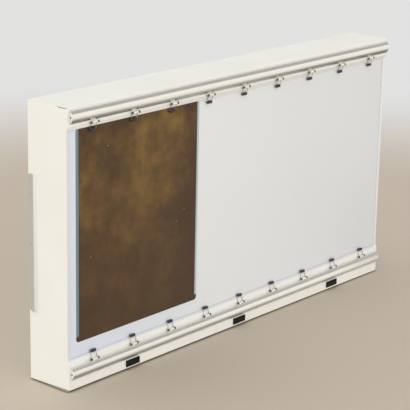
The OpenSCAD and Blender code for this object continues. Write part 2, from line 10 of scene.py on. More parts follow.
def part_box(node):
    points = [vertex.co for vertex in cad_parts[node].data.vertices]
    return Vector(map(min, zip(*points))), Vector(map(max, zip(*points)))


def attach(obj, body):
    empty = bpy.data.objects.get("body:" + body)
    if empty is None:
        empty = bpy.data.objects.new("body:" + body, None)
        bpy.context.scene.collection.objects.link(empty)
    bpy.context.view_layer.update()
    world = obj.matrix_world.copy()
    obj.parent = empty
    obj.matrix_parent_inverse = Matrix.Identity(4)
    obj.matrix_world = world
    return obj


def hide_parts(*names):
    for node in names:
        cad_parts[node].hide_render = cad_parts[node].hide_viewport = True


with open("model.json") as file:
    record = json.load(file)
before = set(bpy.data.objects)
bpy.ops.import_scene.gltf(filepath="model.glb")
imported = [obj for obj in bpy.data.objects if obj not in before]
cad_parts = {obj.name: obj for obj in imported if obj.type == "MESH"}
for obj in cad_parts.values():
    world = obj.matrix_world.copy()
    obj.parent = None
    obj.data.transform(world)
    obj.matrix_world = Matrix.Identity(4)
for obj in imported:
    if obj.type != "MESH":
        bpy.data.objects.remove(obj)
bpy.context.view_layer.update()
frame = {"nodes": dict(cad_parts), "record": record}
nodes = frame["nodes"]
record = frame["record"]
bodyOf = {node: body for body, held in record["behaviour"]["bodies"].items() for node in held}
slotOf = {row["node"]: row["material_slot"] for row in record["subparts"]}
jointOf = {joint["child"]: joint for joint in record["behaviour"]["joints"]}

scene = bpy.context.scene
scene.view_settings.view_transform = "Standard"
mm = 0.001
print("frame loaded:", len(nodes), "nodes")


def addObject(name, data):
    made = bpy.data.objects.new(name, data)
    scene.collection.objects.link(made)
    return made


# Camera, placed as the photograph was taken

cameraView = {
    "place": (-2.5458, -2.12345, 1.2306),
    "azimuth": -49.444,   # degrees, 0 looks along +Y
    "elevation": 16.282,  # degrees above the floor
    "roll": 1.123,        # degrees
    "lens": 139.52,       # mm
    "sensor": 36,         # width, mm
}


def addCamera(view):
    azimuth, elevation, roll = (math.radians(view[key]) for key in ("azimuth", "elevation", "roll"))
    level = math.cos(elevation)
    back = Vector((math.sin(azimuth) * level, -math.cos(azimuth) * level, math.sin(elevation)))
    right = Vector((math.cos(azimuth), math.sin(azimuth), 0))
    up = back.cross(right)
    rolledRight = right * math.cos(roll) + up * math.sin(roll)
    rolledUp = up * math.cos(roll) - right * math.sin(roll)
    data = bpy.data.cameras.new("camera")
    data.sensor_fit = "HORIZONTAL"
    data.sensor_width = view["sensor"]
    data.lens = view["lens"]
    camera = addObject("camera", data)
    facing = Matrix((rolledRight, rolledUp, back)).transposed().to_4x4()
    camera.matrix_world = Matrix.Translation(view["place"]) @ facing
    scene.camera = camera


addCamera(cameraView)
print("camera set")


# Materials

def hexLinear(code):
    channels = [int(code[i:i + 2], 16) / 255 for i in (1, 3, 5)]
    return [c / 12.92 if c <= 0.04045 else ((c + 0.055) / 1.055) ** 2.4 for c in channels] + [1]


def addNode(tree, kind, inputs=None, **settings):
    node = tree.nodes.new(kind)
    for name, value in settings.items():
        setattr(node, name, value)
    for name, value in (inputs or {}).items():
        if isinstance(value, bpy.types.NodeSocket):
            tree.links.new(value, node.inputs[name])
        else:
            node.inputs[name].default_value = value
    return node


def startMaterial(name, surface):
    material = bpy.data.materials.new(name)
    material.use_nodes = True
    tree = material.node_tree
    shader = tree.nodes["Principled BSDF"]
    for socket, value in surface.items():
        shader.inputs[socket].default_value = value
    place = addNode(tree, "ShaderNodeTexCoord").outputs["Object"]
    return material, tree, shader, place


def perMetre(size):
    # a noise texture shows about one blob for each unit of its scale
    return 1 / (size * mm)


noiseRange = (0.3, 0.7)  # most of what a noise texture gives


def varyGloss(tree, shader, noise, roughness, change):
    # a noise makes some places glossier and some duller than the given roughness
    rough = addNode(tree, "ShaderNodeMapRange", {
        "Value": noise.outputs["Fac"], "From Min": noiseRange[0], "From Max": noiseRange[1],
        "To Min": roughness + change[0], "To Max": roughness + change[1],
    })
    tree.links.new(rough.outputs["Result"], shader.inputs["Roughness"])


def addGrain(tree, shader, place, size, strength, height):
    # a fine relief; size and height in mm
    relief = addNode(tree, "ShaderNodeTexNoise", {"Vector": place, "Scale": perMetre(size), "Detail": 1})
    bump = addNode(tree, "ShaderNodeBump", {
        "Height": relief.outputs["Fac"], "Strength": strength, "Distance": height * mm,
    })
    tree.links.new(bump.outputs["Normal"], shader.inputs["Normal"])


# Stoved enamel on sheet steel: a smooth half-gloss coat with faint orange peel, a little yellowed in patches
enamelLook = {
    "ior": 1.5,
    "patch": 160,               # size of the yellowed patches, mm
    "patchRange": (0.4, 0.65),  # noise values of the clean and the aged coat
    "rub": 35,                  # size of the spots that are rubbed bright or dull, mm
    "rubGloss": (-0.05, 0.06),  # added to the roughness
    "peel": 2.5,                # size of the orange peel, mm
    "peelStrength": 0.06,
    "peelHeight": 0.2,          # mm
}

# Round the front opening, on the bevels and lips set back from the front face, the cream is drawn as a
# cooler, darker grey: painted shade, with the bluish light thrown on them by the diffuser
paintedOpeningShade = {
    "white": "#dddee2",
    "start": 0.3,      # depth behind the front face at which the white starts, mm
    "blend": 1.2,      # mm
    "depth": 8.0,      # mm
    "leftRoom": 1.0,   # distances from the ends of the case, mm
    "rightRoom": 6.0,
    "edgeRoom": 45,    # distance from the top and the base, mm
}


def enamel(name, clean, aged, roughness, look, openingShade=None):
    material, tree, shader, place = startMaterial(name, {"IOR": look["ior"]})
    patches = addNode(tree, "ShaderNodeTexNoise", {
        "Vector": place, "Scale": perMetre(look["patch"]), "Detail": 3,
    })
    tone = addNode(tree, "ShaderNodeMapRange", {
        "Value": patches.outputs["Fac"], "From Min": look["patchRange"][0], "From Max": look["patchRange"][1],
    })
    colour = addNode(tree, "ShaderNodeMix", {
        "Factor": tone.outputs["Result"], "A": hexLinear(clean), "B": hexLinear(aged),
    }, data_type="RGBA")
    # painted shade on the bevels and lips round the front opening
    if openingShade:
        front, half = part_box("left_end_panel")[0].y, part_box("top_panel")[1].x
        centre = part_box("top_panel")[1].z / 2
        parts = addNode(tree, "ShaderNodeSeparateXYZ", {"Vector": place})
        setBack = addNode(tree, "ShaderNodeMapRange", {
            "Value": parts.outputs["Y"], "From Min": front + openingShade["start"] * mm,
            "From Max": front + (openingShade["start"] + openingShade["blend"]) * mm,
        })
        share = setBack.outputs["Result"]
        left, right = openingShade["leftRoom"] * mm - half, half - openingShade["rightRoom"] * mm
        limits = (
            ("Y", front, openingShade["depth"] * mm),
            ("X", (left + right) / 2, (right - left) / 2),
            ("Z", centre, centre - openingShade["edgeRoom"] * mm),
        )
        for axis, middleAt, reach in limits:
            inside = addNode(tree, "ShaderNodeMath", {
                0: parts.outputs[axis], 1: middleAt, 2: reach,
            }, operation="COMPARE")
            share = addNode(tree, "ShaderNodeMath", {
                0: share, 1: inside.outputs[0],
            }, operation="MULTIPLY").outputs[0]
        colour = addNode(tree, "ShaderNodeMix", {
            "Factor": share, "A": colour.outputs["Result"], "B": hexLinear(openingShade["white"]),
        }, data_type="RGBA")
    tree.links.new(colour.outputs["Result"], shader.inputs["Base Color"])
    rubbed = addNode(tree, "ShaderNodeTexNoise", {
        "Vector": place, "Scale": perMetre(look["rub"]), "Detail": 2,
    })
    varyGloss(tree, shader, rubbed, roughness, look["rubGloss"])
    addGrain(tree, shader, place, look["peel"], look["peelStrength"], look["peelHeight"])
    return material


creamEnamel = enamel("stovedCreamEnamel", "#f3f1e9", "#f0eee5", 0.4, enamelLook, paintedOpeningShade)
whiteEnamel = enamel("mattWhiteEnamel", "#f2f2f0", "#eceae4", 0.7, enamelLook)
ballastEnamel = enamel("blackStoveEnamel", "#3a3a3c", "#323233", 0.5, enamelLook)


# Cast opal acrylic: milky, with a satin front, bluish at the left end, lighter and neutral further along, a
# little darker at the right end
sheetLook = {
    # share of the length from the left, colour
    "tones": ((0.05, "#dee2ed"), (0.4, "#e6e7e6"), (1.0, "#dedfe0")),
    "cloud": 260,       # size of the patches by which the tones wander, mm
    "wander": 0.25,     # share of the length
    "roughness": 0.34,
    "ior": 1.49,
}


def opalSheet(look):
    low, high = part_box("diffuser")
    surface = {"Roughness": look["roughness"], "IOR": look["ior"]}
    material, tree, shader, place = startMaterial("opalAcrylic", surface)
    parts = addNode(tree, "ShaderNodeSeparateXYZ", {"Vector": place})
    along = addNode(tree, "ShaderNodeMapRange", {
        "Value": parts.outputs["X"], "From Min": low.x, "From Max": high.x,
        "To Min": -look["wander"] / 2, "To Max": 1 - look["wander"] / 2,
    })
    cloud = addNode(tree, "ShaderNodeTexNoise", {
        "Vector": place, "Scale": perMetre(look["cloud"]), "Detail": 2,
    })
    tone = addNode(tree, "ShaderNodeMath", {
        0: cloud.outputs["Fac"], 1: look["wander"], 2: along.outputs["Result"],
    }, operation="MULTIPLY_ADD")
    ramp = addNode(tree, "ShaderNodeValToRGB", {"Fac": tone.outputs[0]})
    stops = ramp.color_ramp.elements
    while len(stops) < len(look["tones"]):
        stops.new(0.5)  # set to its own place below
    for stop, (position, code) in zip(stops, look["tones"]):
        stop.position = position
        stop.color = hexLinear(code)
    tree.links.new(ramp.outputs["Color"], shader.inputs["Base Color"])
    return material


opalAcrylic = opalSheet(sheetLook)


# Satin anodised extrusion: soft reflections, with faint lines drawn along its length by the die
drawnLook = {
    "stretch": (0.02, 1, 1),  # of the noise along X
    "line": 0.7,              # width of a line, mm
    "gloss": (-0.05, 0.07),   # added to the roughness
    "tint": (0.94, 1),        # times the colour
}

# A painted shade darkens the broad face of a grip, picked out by the way the face turns
gripFaceShade = {
    "colour": "#bebcb4",
    "facing": (0.8, 0.96),  # sideways part of the normal, between a bright edge and the broad face
}


def anodised(name, colour, roughness, look, faceShade=None):
    material, tree, shader, place = startMaterial(name, {"Metallic": 1})
    along = addNode(tree, "ShaderNodeMapping", {"Vector": place, "Scale": look["stretch"]})
    lines = addNode(tree, "ShaderNodeTexNoise", {
        "Vector": along.outputs["Vector"], "Scale": perMetre(look["line"]), "Detail": 2,
    })
    varyGloss(tree, shader, lines, roughness, look["gloss"])
    tint = addNode(tree, "ShaderNodeMapRange", {
        "Value": lines.outputs["Fac"], "From Min": noiseRange[0], "From Max": noiseRange[1],
        "To Min": look["tint"][0], "To Max": look["tint"][1],
    })
    base = addNode(tree, "ShaderNodeMix", {
        "Factor": 1.0, "A": hexLinear(colour), "B": tint.outputs["Result"],
    }, data_type="RGBA", blend_type="MULTIPLY")
    # painted shade on the faces that turn to the side
    if faceShade:
        parts = addNode(tree, "ShaderNodeSeparateXYZ", {"Vector": place.node.outputs["Normal"]})
        sideways = addNode(tree, "ShaderNodeMath", {0: parts.outputs["X"]}, operation="ABSOLUTE")
        broad = addNode(tree, "ShaderNodeMapRange", {
            "Value": sideways.outputs[0], "From Min": faceShade["facing"][0], "From Max": faceShade["facing"][1],
        })
        base = addNode(tree, "ShaderNodeMix", {
            "Factor": broad.outputs["Result"], "A": base.outputs["Result"], "B": hexLinear(faceShade["colour"]),
        }, data_type="RGBA")
    tree.links.new(base.outputs["Result"], shader.inputs["Base Color"])
    return material


railAluminium = anodised("anodisedAluminium", "#f1f0ea", 0.3, drawnLook)
gripAluminium = anodised("satinAluminium", "#e6e6e1", 0.42, drawnLook, gripFaceShade)


# Plated steel wire and screws: bright, with the fine grey mottling of a thin plate, and darker with a painted
# shade where a point attribute of the piece asks for it, inside a spring's coils
platedLook = {
    "spot": 1.5,            # size of the mottling, mm
    "gloss": (-0.08, 0.1),  # added to the roughness
}


def plated(name, colour, dull, roughness, look, oil=None):
    material, tree, shader, place = startMaterial(name, {"Metallic": 1})
    spots = addNode(tree, "ShaderNodeTexNoise", {
        "Vector": place, "Scale": perMetre(look["spot"]), "Detail": 3,
    })
    varyGloss(tree, shader, spots, roughness, look["gloss"])
    base = addNode(tree, "ShaderNodeMix", {
        "Factor": spots.outputs["Fac"], "A": hexLinear(colour), "B": hexLinear(dull),
    }, data_type="RGBA")
    if oil:
        coilShaded = addNode(tree, "ShaderNodeAttribute", attribute_name="oil")
        base = addNode(tree, "ShaderNodeMix", {
            "Factor": coilShaded.outputs["Fac"], "A": base.outputs["Result"], "B": hexLinear(oil),
        }, data_type="RGBA")
    tree.links.new(base.outputs["Result"], shader.inputs["Base Color"])
    return material


# the last colour is the painted shade inside the coils
springSteel = plated("nickelledSpringWire", "#dcd9cf", "#a09c92", 0.3, platedLook, "#5d584d")
zincSteel = plated("zincPlatedSteel", "#d6d6d0", "#a29f96", 0.36, platedLook)


# Moulded plastics, rubber and glass: one colour right through, with a fine grain from the tool
mouldedLook = {
    "ior": 1.5,
    "blotch": 9,             # size of the worn spots, mm
    "range": (0.35, 0.7),    # noise values of a fresh and a worn spot
    "grainStrength": 0.15,
    "grainHeight": 0.05,     # mm
}


def moulded(name, colour, worn, roughness, grain, look, specular=0.5):
    surface = {"IOR": look["ior"], "Roughness": roughness, "Specular IOR Level": specular}
    material, tree, shader, place = startMaterial(name, surface)
    blotch = addNode(tree, "ShaderNodeTexNoise", {
        "Vector": place, "Scale": perMetre(look["blotch"]), "Detail": 3,
    })
    tone = addNode(tree, "ShaderNodeMapRange", {
        "Value": blotch.outputs["Fac"], "From Min": look["range"][0], "From Max": look["range"][1],
    })
    base = addNode(tree, "ShaderNodeMix", {
        "Factor": tone.outputs["Result"], "A": hexLinear(colour), "B": hexLinear(worn),
    }, data_type="RGBA")
    tree.links.new(base.outputs["Result"], shader.inputs["Base Color"])
    addGrain(tree, shader, place, grain, look["grainStrength"], look["grainHeight"])
    return material


# roughness, then the size of the grain in mm
blackPlastic = moulded("blackAbs", "#0b0a08", "#12110e", 0.5, 0.4, mouldedLook, 0.16)
blackRubber = moulded("blackRubber", "#26262a", "#34343a", 0.55, 0.5, mouldedLook)
whitePlastic = moulded("whiteMoulding", "#e8e6df", "#dedbd2", 0.5, 0.5, mouldedLook)
tubeGlass = moulded("phosphorCoatedGlass", "#f4f4f2", "#eeeeec", 0.3, 3, mouldedLook)


# Exposed film: a blue-tinted base with a brown emulsion that stops short of its upright edges. The emulsion
# is mottled in soft patches, livelier and lighter towards the top, darker towards the edges, with fine
# scratches both ways, drawn wider than real ones so that they show, and a few specks of dust
filmLook = {
    "roughness": 0.32,
    "specular": 0.22,
    "leftBorder": 6.8,    # bare base beside the emulsion, mm
    "rightBorder": 5.0,
    "borderFoot": 10.0,   # the emulsion runs right across below this height, mm
    "edgeBlur": 1.2,      # mm
    "footBlur": 3.6,      # mm
    "layers": (
        # size in mm, detail, stretch along X and Z, weight
        (150, 3, (1, 1), 0.5),
        (55, 4, (1, 1), 0.4),
        (20, 3, (1, 1), 0.2),
        (2.2, 2, (1, 0.055), 0.08),
        (2.2, 2, (0.055, 1), 0.06),
    ),
    "strength": (0.55, 1.2),  # of the mottling, at the foot and at the top
    "tone": (-0.08, 0.06),    # at the foot and where it has risen
    "toneHeight": 0.75,       # share of the height at which it has risen
    "falls": {"left": (20, 0.08), "right": (70, 0.16), "top": (30, 0.1)},  # width in mm, depth
    "range": (-0.15, 0.21),   # tones of the densest and the lightest emulsion
    "curve": 2.0,
    "dense": "#473019",
    "light": "#7c5e2b",
    "leftBase": "#728793",
    "rightBase": "#b3c1c4",
    "specks": 62,             # distance between places where a speck may lie, mm
    "speckSize": 1.1,         # mm
    "speckColour": "#b9a878",
}


def exposedFilm(look):
    low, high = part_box("film_sheet")
    surface = {"Roughness": look["roughness"], "Specular IOR Level": look["specular"]}
    material, tree, shader, place = startMaterial("exposedFilm", surface)
    parts = addNode(tree, "ShaderNodeSeparateXYZ", {"Vector": place})
    across, height = parts.outputs["X"], parts.outputs["Z"]

    mottle = -sum(layer[3] for layer in look["layers"]) / 2
    for size, detail, (stretchX, stretchZ), weight in look["layers"]:
        drawn = addNode(tree, "ShaderNodeMapping", {"Vector": place, "Scale": (stretchX, 1, stretchZ)})
        field = addNode(tree, "ShaderNodeTexNoise", {
            "Vector": drawn.outputs["Vector"], "Scale": perMetre(size), "Detail": detail,
        })
        mottle = addNode(tree, "ShaderNodeMath", {
            0: field.outputs["Fac"], 1: weight, 2: mottle,
        }, operation="MULTIPLY_ADD").outputs[0]
    strength = addNode(tree, "ShaderNodeMapRange", {
        "Value": height, "From Min": low.z, "From Max": high.z,
        "To Min": look["strength"][0], "To Max": look["strength"][1],
    })
    tone = addNode(tree, "ShaderNodeMapRange", {
        "Value": height, "From Min": low.z, "From Max": low.z + (high.z - low.z) * look["toneHeight"],
        "To Min": look["tone"][0], "To Max": look["tone"][1],
    }, interpolation_type="SMOOTHSTEP").outputs["Result"]
    tone = addNode(tree, "ShaderNodeMath", {
        0: mottle, 1: strength.outputs["Result"], 2: tone,
    }, operation="MULTIPLY_ADD").outputs[0]
    edges = {"left": (across, low.x, 1), "right": (across, high.x, -1), "top": (height, high.z, -1)}
    for edge, (value, start, inwards) in edges.items():
        width, depth = look["falls"][edge]
        fall = addNode(tree, "ShaderNodeMapRange", {
            "Value": value, "From Min": start, "From Max": start + inwards * width * mm,
            "To Min": -depth, "To Max": 0,
        }, interpolation_type="SMOOTHSTEP")
        tone = addNode(tree, "ShaderNodeMath", {0: tone, 1: fall.outputs["Result"]}).outputs[0]
    lit = addNode(tree, "ShaderNodeMapRange", {
        "Value": tone, "From Min": look["range"][0], "From Max": look["range"][1],
    })
    skewed = addNode(tree, "ShaderNodeMath", {0: lit.outputs["Result"], 1: look["curve"]}, operation="POWER")
    colour = addNode(tree, "ShaderNodeMix", {
        "Factor": skewed.outputs[0], "A": hexLinear(look["dense"]), "B": hexLinear(look["light"]),
    }, data_type="RGBA")

    dust = addNode(tree, "ShaderNodeTexVoronoi", {"Vector": place, "Scale": perMetre(look["specks"])})
    speck = addNode(tree, "ShaderNodeMath", {
        0: dust.outputs["Distance"], 1: look["speckSize"] / look["specks"],
    }, operation="LESS_THAN")
    colour = addNode(tree, "ShaderNodeMix", {
        "Factor": speck.outputs[0], "A": colour.outputs["Result"], "B": hexLinear(look["speckColour"]),
    }, data_type="RGBA")

    blur = look["edgeBlur"] * mm
    footTop = low.z + look["borderFoot"] * mm
    foot = addNode(tree, "ShaderNodeMapRange", {
        "Value": height, "From Min": footTop, "From Max": footTop + look["footBlur"] * mm,
    }, interpolation_type="SMOOTHSTEP")
    leftEnd, rightEnd = low.x + look["leftBorder"] * mm, high.x - look["rightBorder"] * mm
    borders = ((leftEnd + blur, leftEnd, "leftBase"), (rightEnd - blur, rightEnd, "rightBase"))
    for start, end, base in borders:
        bare = addNode(tree, "ShaderNodeMapRange", {
            "Value": across, "From Min": start, "From Max": end, "To Max": foot.outputs["Result"],
        }, interpolation_type="SMOOTHSTEP")
        colour = addNode(tree, "ShaderNodeMix", {
            "Factor": bare.outputs["Result"], "A": colour.outputs["Result"], "B": hexLinear(look[base]),
        }, data_type="RGBA")
    tree.links.new(colour.outputs["Result"], shader.inputs["Base Color"])
    return material


filmMaterial = exposedFilm(filmLook)

nodeMaterials = {
    "back_panel": creamEnamel,
    "diffuser": opalAcrylic,
    "film_sheet": filmMaterial,
    "reflector_tray": whiteEnamel,
    "lamp_tubes": tubeGlass,
    "lampholders": whitePlastic,
    "ballasts": ballastEnamel,
    "starters": whitePlastic,
    "cord_grommet": blackRubber,
}
for name, material in nodeMaterials.items():
    nodes[name].data.materials.clear()
    nodes[name].data.materials.append(material)
print("materials made:", len(bpy.data.materials))


# Making of pieces

meshRules = {
    "weld": 0.002,          # points that lie closer become one, mm
    "flat": 0.5,            # faces that meet at less become one, degrees
    "curve": (0.01, 0.44),  # angles between the facets of a curve, radians
    "corner": 0.35,         # least angle of an edge that is rounded, radians
    "turnWeld": 0.001,      # on turned shapes, mm
    "turnSliver": 0.0005,   # mm
    "turnSharp": 35,        # edges of a turned shape that stay sharp, degrees
}


def placePiece(name, mesh, material, nodeName):
    body, slot = bodyOf[nodeName], slotOf[nodeName]
    mesh.materials.clear()
    mesh.materials.append(material)
    piece = addObject(name, mesh)
    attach(piece, body)
    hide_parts(nodeName)


def meshFrom(bm, name):
    mesh = bpy.data.meshes.new(name)
    bm.to_mesh(mesh)
    bm.free()
    return mesh


def tidied(bm):
    # merges points that lie on each other and takes out faces without area
    bmesh.ops.remove_doubles(bm, verts=bm.verts, dist=meshRules["weld"] * mm)
    bmesh.ops.dissolve_degenerate(bm, edges=bm.edges, dist=meshRules["weld"] * mm)
    return bm


def turnedShape(name, profile, steps, closed=False):
    # profile is a line of (radius, height) in mm, closed or from axis to axis, turned about Z
    bm = bmesh.new()
    rings = []
    for k in range(steps):
        angle = 2 * math.pi * k / steps
        points = [Vector((r * math.cos(angle), r * math.sin(angle), z)) * mm for r, z in profile]
        rings.append([bm.verts.new(point) for point in points])
    count = len(profile)
    for k in range(steps):
        n = (k + 1) % steps
        for i in range(count if closed else count - 1):
            j = (i + 1) % count
            bm.faces.new((rings[k][i], rings[n][i], rings[n][j], rings[k][j])).smooth = True
    bmesh.ops.remove_doubles(bm, verts=bm.verts, dist=meshRules["turnWeld"] * mm)
    bmesh.ops.dissolve_degenerate(bm, edges=bm.edges, dist=meshRules["turnSliver"] * mm)
    bmesh.ops.recalc_face_normals(bm, faces=bm.faces)
    for edge in bm.edges:
        edge.smooth = edge.calc_face_angle(0) < math.radians(meshRules["turnSharp"])
    return meshFrom(bm, name)


def bakedMesh(carrier, name):
    # turns what the modifiers of an object make into a plain mesh, and removes the object
    evaluated = carrier.evaluated_get(bpy.context.evaluated_depsgraph_get())
    mesh = bpy.data.meshes.new_from_object(evaluated)
    mesh.name = name
    bpy.data.objects.remove(carrier)
    return mesh


def softened(nodeName, pieceName, material, rounds):
    # a copy of a node's mesh with chosen edges rounded; rounds holds (radius in mm, segments) and the choice
    bm = bmesh.new()
    bm.from_mesh(nodes[nodeName].data)
    bmesh.ops.remove_doubles(bm, verts=bm.verts, dist=meshRules["weld"] * mm)
    flat = math.radians(meshRules["flat"])
    bmesh.ops.dissolve_limit(bm, angle_limit=flat, verts=bm.verts, edges=bm.edges)
    least, most = meshRules["curve"]
    for face in bm.faces:
        face.smooth = any(least < edge.calc_face_angle(0) < most for edge in face.edges)
    for (radius, segments), chosen in rounds:
        corners = [edge for edge in bm.edges if edge.calc_face_angle(0) > meshRules["corner"]]
        edges = [edge for edge in corners if edge.is_convex and chosen(edge)]
        made = bmesh.ops.bevel(
            bm, geom=edges, offset=radius * mm, offset_type="OFFSET", segments=segments, profile=0.5,
            affect="EDGES", clamp_overlap=True,
        )
        for face in made["faces"]:
            face.smooth = True
    placePiece(pieceName, meshFrom(tidied(bm), pieceName), material, nodeName)


def middle(edge):
    return (edge.verts[0].co + edge.verts[1].co) / 2


def near(value, target, room=0.05):
    return abs(value - target) < room * mm


# Case: folded panels with real bends, and sheared edges that are slightly broken

caseSizes = {
    # outer radius in mm, segments
    "bend": (1.8, 5),
    "footBend": (3.0, 5),       # the fold that the case stands on
    "lipBend": (1.2, 3),        # where a flange turns into the slope to the diffuser
    "endBend": (1.8, 4),
    "shearedEdge": (0.25, 2),
    "foldLength": 300,          # shortest edge that counts as a fold, mm
    "shearedLength": 5,         # shortest edge that counts as sheared, mm
}
foldLength = caseSizes["foldLength"] * mm
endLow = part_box("left_end_panel")[0]
caseLeft = endLow.x
caseFront = endLow.y
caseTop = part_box("top_panel")[1].z
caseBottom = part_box("bottom_panel")[0].z


def runs(edge):
    run = edge.verts[1].co - edge.verts[0].co
    return max(zip((abs(run.x), abs(run.y), abs(run.z)), "xyz"))[1], run.length


def longFold(edge):
    point = middle(edge)
    along, length = runs(edge)
    onFace = near(point.z, caseTop) or near(point.z, caseBottom)
    return along == "x" and length > foldLength and onFace and near(point.y, caseFront)


def lipFold(edge):
    along, length = runs(edge)
    return along == "x" and length > foldLength and near(middle(edge).y, caseFront) and not longFold(edge)


def uprightFold(edge):
    point = middle(edge)
    along, length = runs(edge)
    return along == "z" and length > foldLength and near(abs(point.x), -caseLeft) and point.y < 0


def shearedEnd(edge):
    point = middle(edge)
    along, length = runs(edge)
    return length > caseSizes["shearedLength"] * mm and along != "x" and near(abs(point.x), -caseLeft)


for side, bend in (("top", "bend"), ("bottom", "footBend")):
    softened(f"{side}_panel", f"{side}Panel", creamEnamel, [
        (caseSizes[bend], longFold),
        (caseSizes["lipBend"], lipFold),
        (caseSizes["shearedEdge"], shearedEnd),
    ])
for side in ("left", "right"):
    softened(f"{side}_end_panel", f"{side}EndPanel", creamEnamel, [(caseSizes["endBend"], uprightFold)])
print("case folded")


# Rails: the same extrusion above and below the film, cut square at both ends, with a screw port through it

railSizes = {
    # mm
    "edge": 2.5,          # thickness at the upper edge
    "noseRadius": 20,
    "noseHeight": 14.9,   # height of the nose's furthest point
    "portDiameter": 3.6,
    "portOut": 4.4,
    "portHeight": 12.4,
    "edgeRound": 0.5,     # radius of the extrusion's corners
    "cove": 0.45,         # depth of the hollow along the sloping face
    "creaseStep": 0.01,   # of the search for the line where the slope meets the nose
    # counts and angles
    "coveSteps": 8,
    "arcSteps": 26,
    "cornerSteps": 5,
    "portSteps": 24,
    "sharp": 28,          # edges that stay sharp, degrees
}


def roundedLoop(corners, steps):
    # corners are (out, up, radius) in mm; each becomes an arc that meets its two sides
    loop = []
    count = len(corners)
    for i, (out, up, radius) in enumerate(corners):
        point = Vector((out, up))
        if not radius:
            loop.append(point)
            continue
        before = (Vector(corners[i - 1][:2]) - point).normalized()
        after = (Vector(corners[(i + 1) % count][:2]) - point).normalized()
        half = before.angle(after) / 2
        reach = radius / math.tan(half)
        centre = point + (before + after).normalized() * (radius / math.sin(half))
        start = point + before * reach - centre
        end = point + after * reach - centre
        for k in range(steps + 1):
            loop.append(centre + start.slerp(end, k / steps))
    return loop


def circleLoop(out, up, diameter, steps):
    centre = Vector((out, up))
    turns = [2 * math.pi * k / steps for k in range(steps)]
    return [centre + Vector((math.cos(turn), math.sin(turn))) * diameter / 2 for turn in turns]


def extrudedAlongX(name, loops, fromX, toX, place, sharp):
    # loops of (out, up) in mm, the first outside and the rest holes; out is towards the viewer
    bm = bmesh.new()
    capEdges = {fromX: [], toX: []}
    for loop in loops:
        rings = {}
        for x in (fromX, toX):
            rings[x] = [bm.verts.new((x, place.y - point.x * mm, place.z + point.y * mm)) for point in loop]
        for k in range(len(loop)):
            n = (k + 1) % len(loop)
            face = bm.faces.new((rings[fromX][k], rings[fromX][n], rings[toX][n], rings[toX][k]))
            face.smooth = True
            for x in (fromX, toX):
                capEdges[x].append(bm.edges.get((rings[x][k], rings[x][n])))
    for edges in capEdges.values():
        bmesh.ops.triangle_fill(bm, edges=edges, use_beauty=True)
    bmesh.ops.recalc_face_normals(bm, faces=bm.faces)
    for edge in bm.edges:
        edge.smooth = edge.calc_face_angle(0) < math.radians(sharp)
    return meshFrom(bm, name)


def addRail(nodeName, pieceName, sizes):
    low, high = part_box(nodeName)
    height = (high.z - low.z) / mm
    reach = (high.y - low.y) / mm
    radius = sizes["noseRadius"]

    def noseOut(up):
        return reach - radius + math.sqrt(radius ** 2 - (up - sizes["noseHeight"]) ** 2)

    def slopeOut(up):
        return sizes["edge"] + height - up

    crease = height
    while slopeOut(crease) < noseOut(crease):
        crease -= sizes["creaseStep"]
    corners = [(0, 0, 0), (noseOut(0), 0, sizes["edgeRound"])]
    # the first and the last steps of the nose are left to its rounded corners
    nose = [crease * k / sizes["arcSteps"] for k in range(2, sizes["arcSteps"] - 1)]
    corners += [(noseOut(up), up, 0) for up in nose]
    corners.append((noseOut(crease), crease, sizes["edgeRound"]))
    for k in range(1, sizes["coveSteps"]):
        t = k / sizes["coveSteps"]
        up = crease + (height - crease) * t
        hollow = sizes["cove"] * 4 * t * (1 - t) / math.sqrt(2)  # a parabola, square to the slope
        corners.append((slopeOut(up) - hollow, up - hollow, 0))
    corners += [(sizes["edge"], height, sizes["edgeRound"]), (0, height, 0)]
    port = circleLoop(sizes["portOut"], sizes["portHeight"], sizes["portDiameter"], sizes["portSteps"])
    loops = [roundedLoop(corners, sizes["cornerSteps"]), port]
    place = Vector((0, high.y, low.z))
    mesh = extrudedAlongX(pieceName, loops, low.x, high.x, place, sizes["sharp"])
    placePiece(pieceName, mesh, railAluminium, nodeName)


addRail("top_rail", "topRail", railSizes)
addRail("bottom_rail", "bottomRail", railSizes)
print("rails drawn")


# Film clips: a double torsion spring of round wire, turning on its pin, with a rubber sleeve on its cross bar

clipSizes = {
    "wire": 1.0,       # mm
    "coil": 4.2,       # mean diameter, mm
    "turns": 1.75,
    "turnGap": 0.55,   # between the turns of a coil, mm
    "legHalf": 8.2,    # half the distance between the legs at the coils, mm
    "barHalf": 7.6,    # half the length of the cross bar, mm
    "bend": 1.4,       # reach of the bend between a leg and the cross bar, mm
    "tailRoom": 0.3,   # room between the wire's straight end and the case that it bears on, mm
    "turnSteps": 22,
    "bendSteps": 6,
    "sides": 12,
    "coilShadeReach": 3.2,   # distance from the coil axis within which the wire gets the painted shade, mm
}
sleeveSizes = {
    "boreRoom": 0.1,   # the bore is this much wider than the wire, mm
    "lip": 0.11,       # radius of the rounded ends, share of the diameter
    "lipSteps": 4,
    "sides": 28,
}


